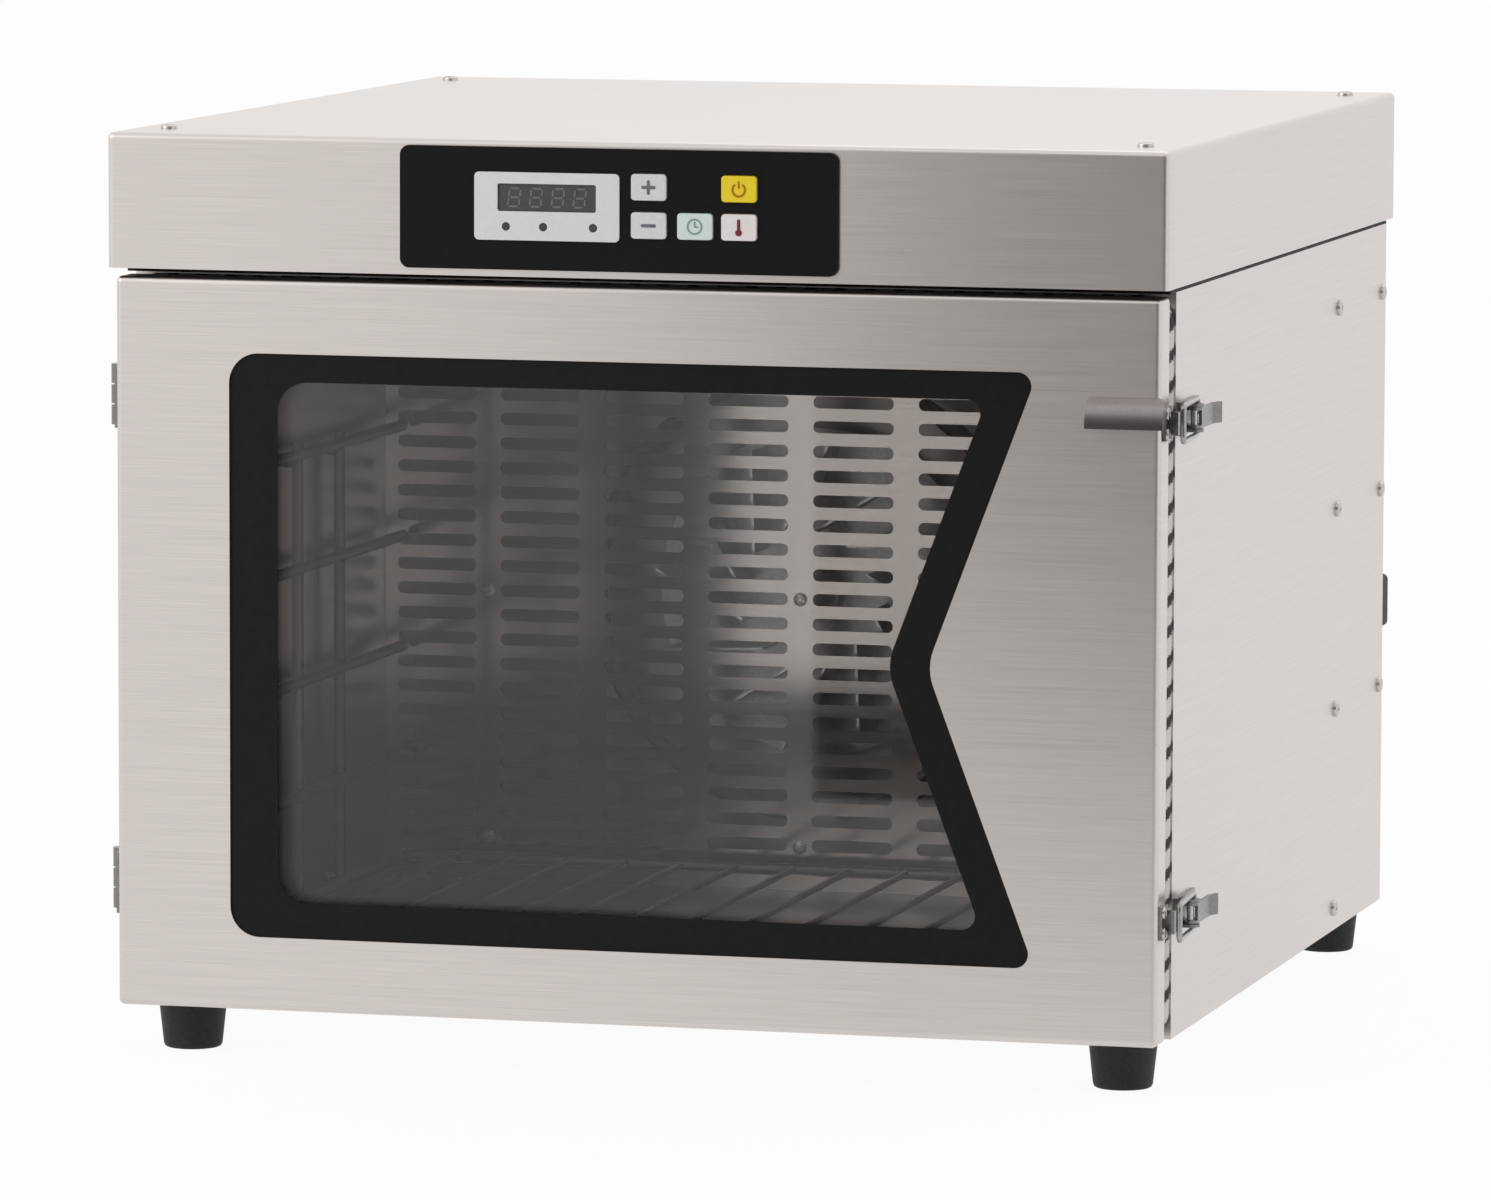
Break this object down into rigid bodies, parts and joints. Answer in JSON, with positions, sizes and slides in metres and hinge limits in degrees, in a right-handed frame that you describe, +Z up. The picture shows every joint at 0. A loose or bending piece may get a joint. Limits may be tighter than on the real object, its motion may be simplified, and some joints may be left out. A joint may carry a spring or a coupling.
{
  "type": "reflow oven",
  "caption": "Benchtop convection reflow oven in brushed stainless steel with a glazed side-hung door, draw latches, slotted rear air wall, fan and a keyed control header.",
  "frame": {"origin": "on the floor under the middle of the header", "axes": "+Z up, -Y out of the door front, +X to the right of a person facing the door"},
  "size_m": [0.4736, 0.4961, 0.397],
  "materials": {
    "stainless": "brushed satin",
    "inner_steel": "satin",
    "deck_black": "matt paint",
    "wire_steel": "drawn wire dulled by heat",
    "wool": "pressed mineral wool",
    "rope": "braided glass rope",
    "fan_alloy": "plain",
    "motor_black": "satin paint",
    "fascia_black": "semi gloss",
    "bezel_grey": "satin",
    "display_dark": "gloss",
    "lamp_dark": "clear lens",
    "circuit_green": "solder mask",
    "inlet_black": "moulded",
    "foot_rubber": "matt",
    "screw_steel": "bright",
    "clear_glass": "polished",
    "band_black": "fired enamel",
    "plated_steel": "zinc plate",
    "key_white": "satin",
    "key_green": "satin",
    "key_pink": "satin",
    "key_yellow": "satin"
  },
  "bodies": {
    "casing": {"air_panel": "inner_steel", "base_pan": "stainless", "body_hardware_screws": "screw_steel", "bulkhead": "inner_steel", "case_screws": "screw_steel", "chamber_liner": "inner_steel", "control_board": "circuit_green", "control_fascia": "fascia_black", "display_bezel": "bezel_grey", "display_module": "display_dark", "door_gasket": "rope", "fan_motor": "motor_black", "feet": "foot_rubber", "front_frame": "stainless", "header_deck": "deck_black", "heater_ring": "wire_steel", "hinge_pins": "plated_steel", "indicator_lamps": "lamp_dark", "insulation_boards": "wool", "latch_pins": "plated_steel", "left_rack_rail": "wire_steel", "left_side_panel": "stainless", "lower_hinge_body_leaf": "plated_steel", "lower_latch_base": "plated_steel", "mains_inlet": "inlet_black", "power_board": "circuit_green", "rear_panel": "stainless", "rear_spacers": "foot_rubber", "right_rack_rail": "wire_steel", "right_side_panel": "stainless", "thermocouple": "wire_steel", "top_cover": "stainless", "upper_hinge_body_leaf": "plated_steel", "upper_latch_base": "plated_steel"},
    "door": {"door_skin": "stainless", "glass_band": "band_black", "outer_glass": "clear_glass", "glazing_frame": "fan_alloy", "inner_glass": "clear_glass", "door_back_panel": "inner_steel", "door_insulation": "wool", "door_pull": "stainless", "door_hardware_screws": "screw_steel", "upper_hinge_door_leaf": "plated_steel", "lower_hinge_door_leaf": "plated_steel", "upper_latch_keeper": "plated_steel", "lower_latch_keeper": "plated_steel"},
    "fan": {"fan_impeller": "fan_alloy", "fan_shaft": "wire_steel"},
    "rack": {"wire_rack": "wire_steel"},
    "plus_key": {"plus_key": "key_white"},
    "minus_key": {"minus_key": "key_white"},
    "timer_key": {"timer_key": "key_green"},
    "heat_key": {"heat_key": "key_pink"},
    "start_key": {"start_key": "key_yellow"},
    "upper_lever": {"upper_latch_lever": "plated_steel"},
    "upper_loop": {"upper_latch_loop": "plated_steel"},
    "lower_lever": {"lower_latch_lever": "plated_steel"},
    "lower_loop": {"lower_latch_loop": "plated_steel"}
  },
  "joints": [
    {"name": "door_swing", "type": "hinge", "parent": "casing", "child": "door", "pos_m": [-0.232, -0.217, 0.178], "axis": [0, 0, -1], "range_deg": [0, 110]},
    {"name": "fan_spin", "type": "hinge", "parent": "casing", "child": "fan", "pos_m": [0, 0.1211, 0.1741], "axis": [0, 1, 0], "continuous": true},
    {"name": "rack_slide", "type": "slide", "parent": "casing", "child": "rack", "axis": [0, -1, 0], "range_m": [0, 0.045]},
    {"name": "plus_key_press", "type": "slide", "parent": "casing", "child": "plus_key", "axis": [0, 1, 0], "range_m": [0, 0.001], "stiffness_N_per_m": 400},
    {"name": "minus_key_press", "type": "slide", "parent": "casing", "child": "minus_key", "axis": [0, 1, 0], "range_m": [0, 0.001], "stiffness_N_per_m": 400},
    {"name": "timer_key_press", "type": "slide", "parent": "casing", "child": "timer_key", "axis": [0, 1, 0], "range_m": [0, 0.001], "stiffness_N_per_m": 400},
    {"name": "heat_key_press", "type": "slide", "parent": "casing", "child": "heat_key", "axis": [0, 1, 0], "range_m": [0, 0.001], "stiffness_N_per_m": 400},
    {"name": "start_key_press", "type": "slide", "parent": "casing", "child": "start_key", "axis": [0, 1, 0], "range_m": [0, 0.001], "stiffness_N_per_m": 400},
    {"name": "upper_lever_turn", "type": "hinge", "parent": "casing", "child": "upper_lever", "pos_m": [0.2322, -0.1975, 0.282], "axis": [0, 0, -1], "range_deg": [0, 110]},
    {"name": "upper_loop_swing", "type": "hinge", "parent": "upper_lever", "child": "upper_loop", "pos_m": [0.2322, -0.191, 0.282], "axis": [0, 0, -1], "range_deg": [-110, 0]},
    {"name": "lower_lever_turn", "type": "hinge", "parent": "casing", "child": "lower_lever", "pos_m": [0.2322, -0.1975, 0.074], "axis": [0, 0, -1], "range_deg": [0, 110]},
    {"name": "lower_loop_swing", "type": "hinge", "parent": "lower_lever", "child": "lower_loop", "pos_m": [0.2322, -0.191, 0.074], "axis": [0, 0, -1], "range_deg": [-110, 0]}
  ],
  "couplings": [
    {"joint": "upper_loop_swing", "follows": "upper_lever_turn", "ratio": -1},
    {"joint": "lower_loop_swing", "follows": "lower_lever_turn", "ratio": -1}
  ]
}
